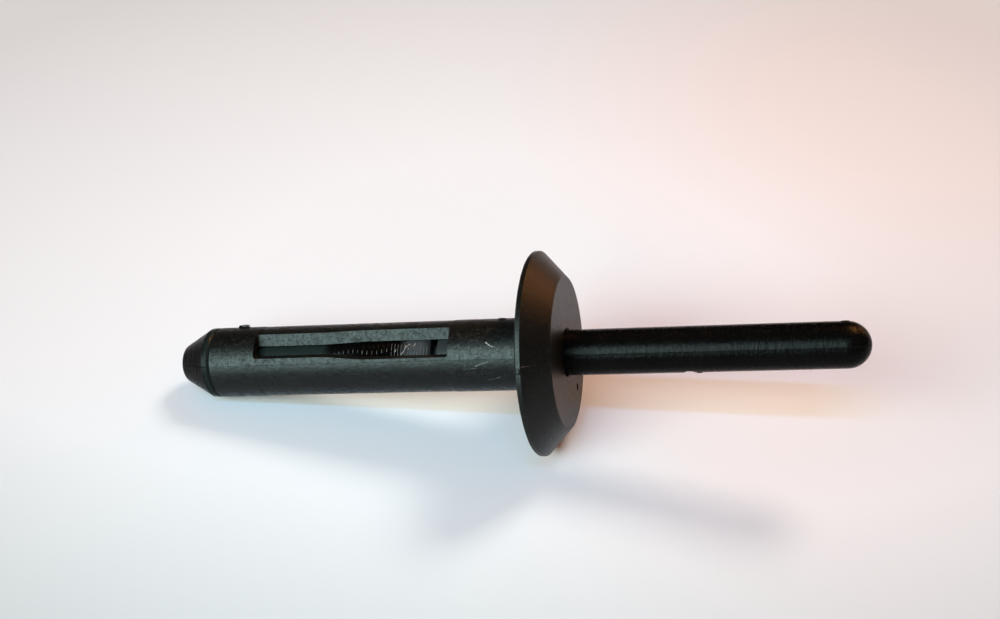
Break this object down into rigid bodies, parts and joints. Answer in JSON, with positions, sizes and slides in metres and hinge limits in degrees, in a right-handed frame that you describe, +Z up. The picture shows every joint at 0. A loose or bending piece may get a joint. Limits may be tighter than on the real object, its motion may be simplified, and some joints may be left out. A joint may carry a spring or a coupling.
{
  "type": "blind rivet",
  "caption": "Black nylon pull-type blind rivet, unset: slotted sleeve with wide conical head, and a mandrel with nose, toothed plug and stem.",
  "frame": {"origin": "on the surface that the rivet lies on, under the middle of its length", "axes": "+Z up; +X level, along the rivet from its nose to the round end of its stem. The rivet's own axis rises towards +X by 10.55 degrees, because it lies on its head's rim and its nose"},
  "size_m": [0.0614, 0.018, 0.0178],
  "materials": {
    "sleeve_nylon": "satin black nylon with a fine moulded grain and light scratches",
    "mandrel_nylon": "smooth black nylon, glossier than the sleeve"
  },
  "bodies": {
    "mandrel": {"mandrel": "mandrel_nylon"},
    "sleeve": {"sleeve": "sleeve_nylon"}
  },
  "joints": [
    {"name": "sleeve_slide", "type": "slide", "parent": "mandrel", "child": "sleeve", "axis": [0.9831, 0, 0.1832], "range_m": [0, 0.0601]}
  ]
}
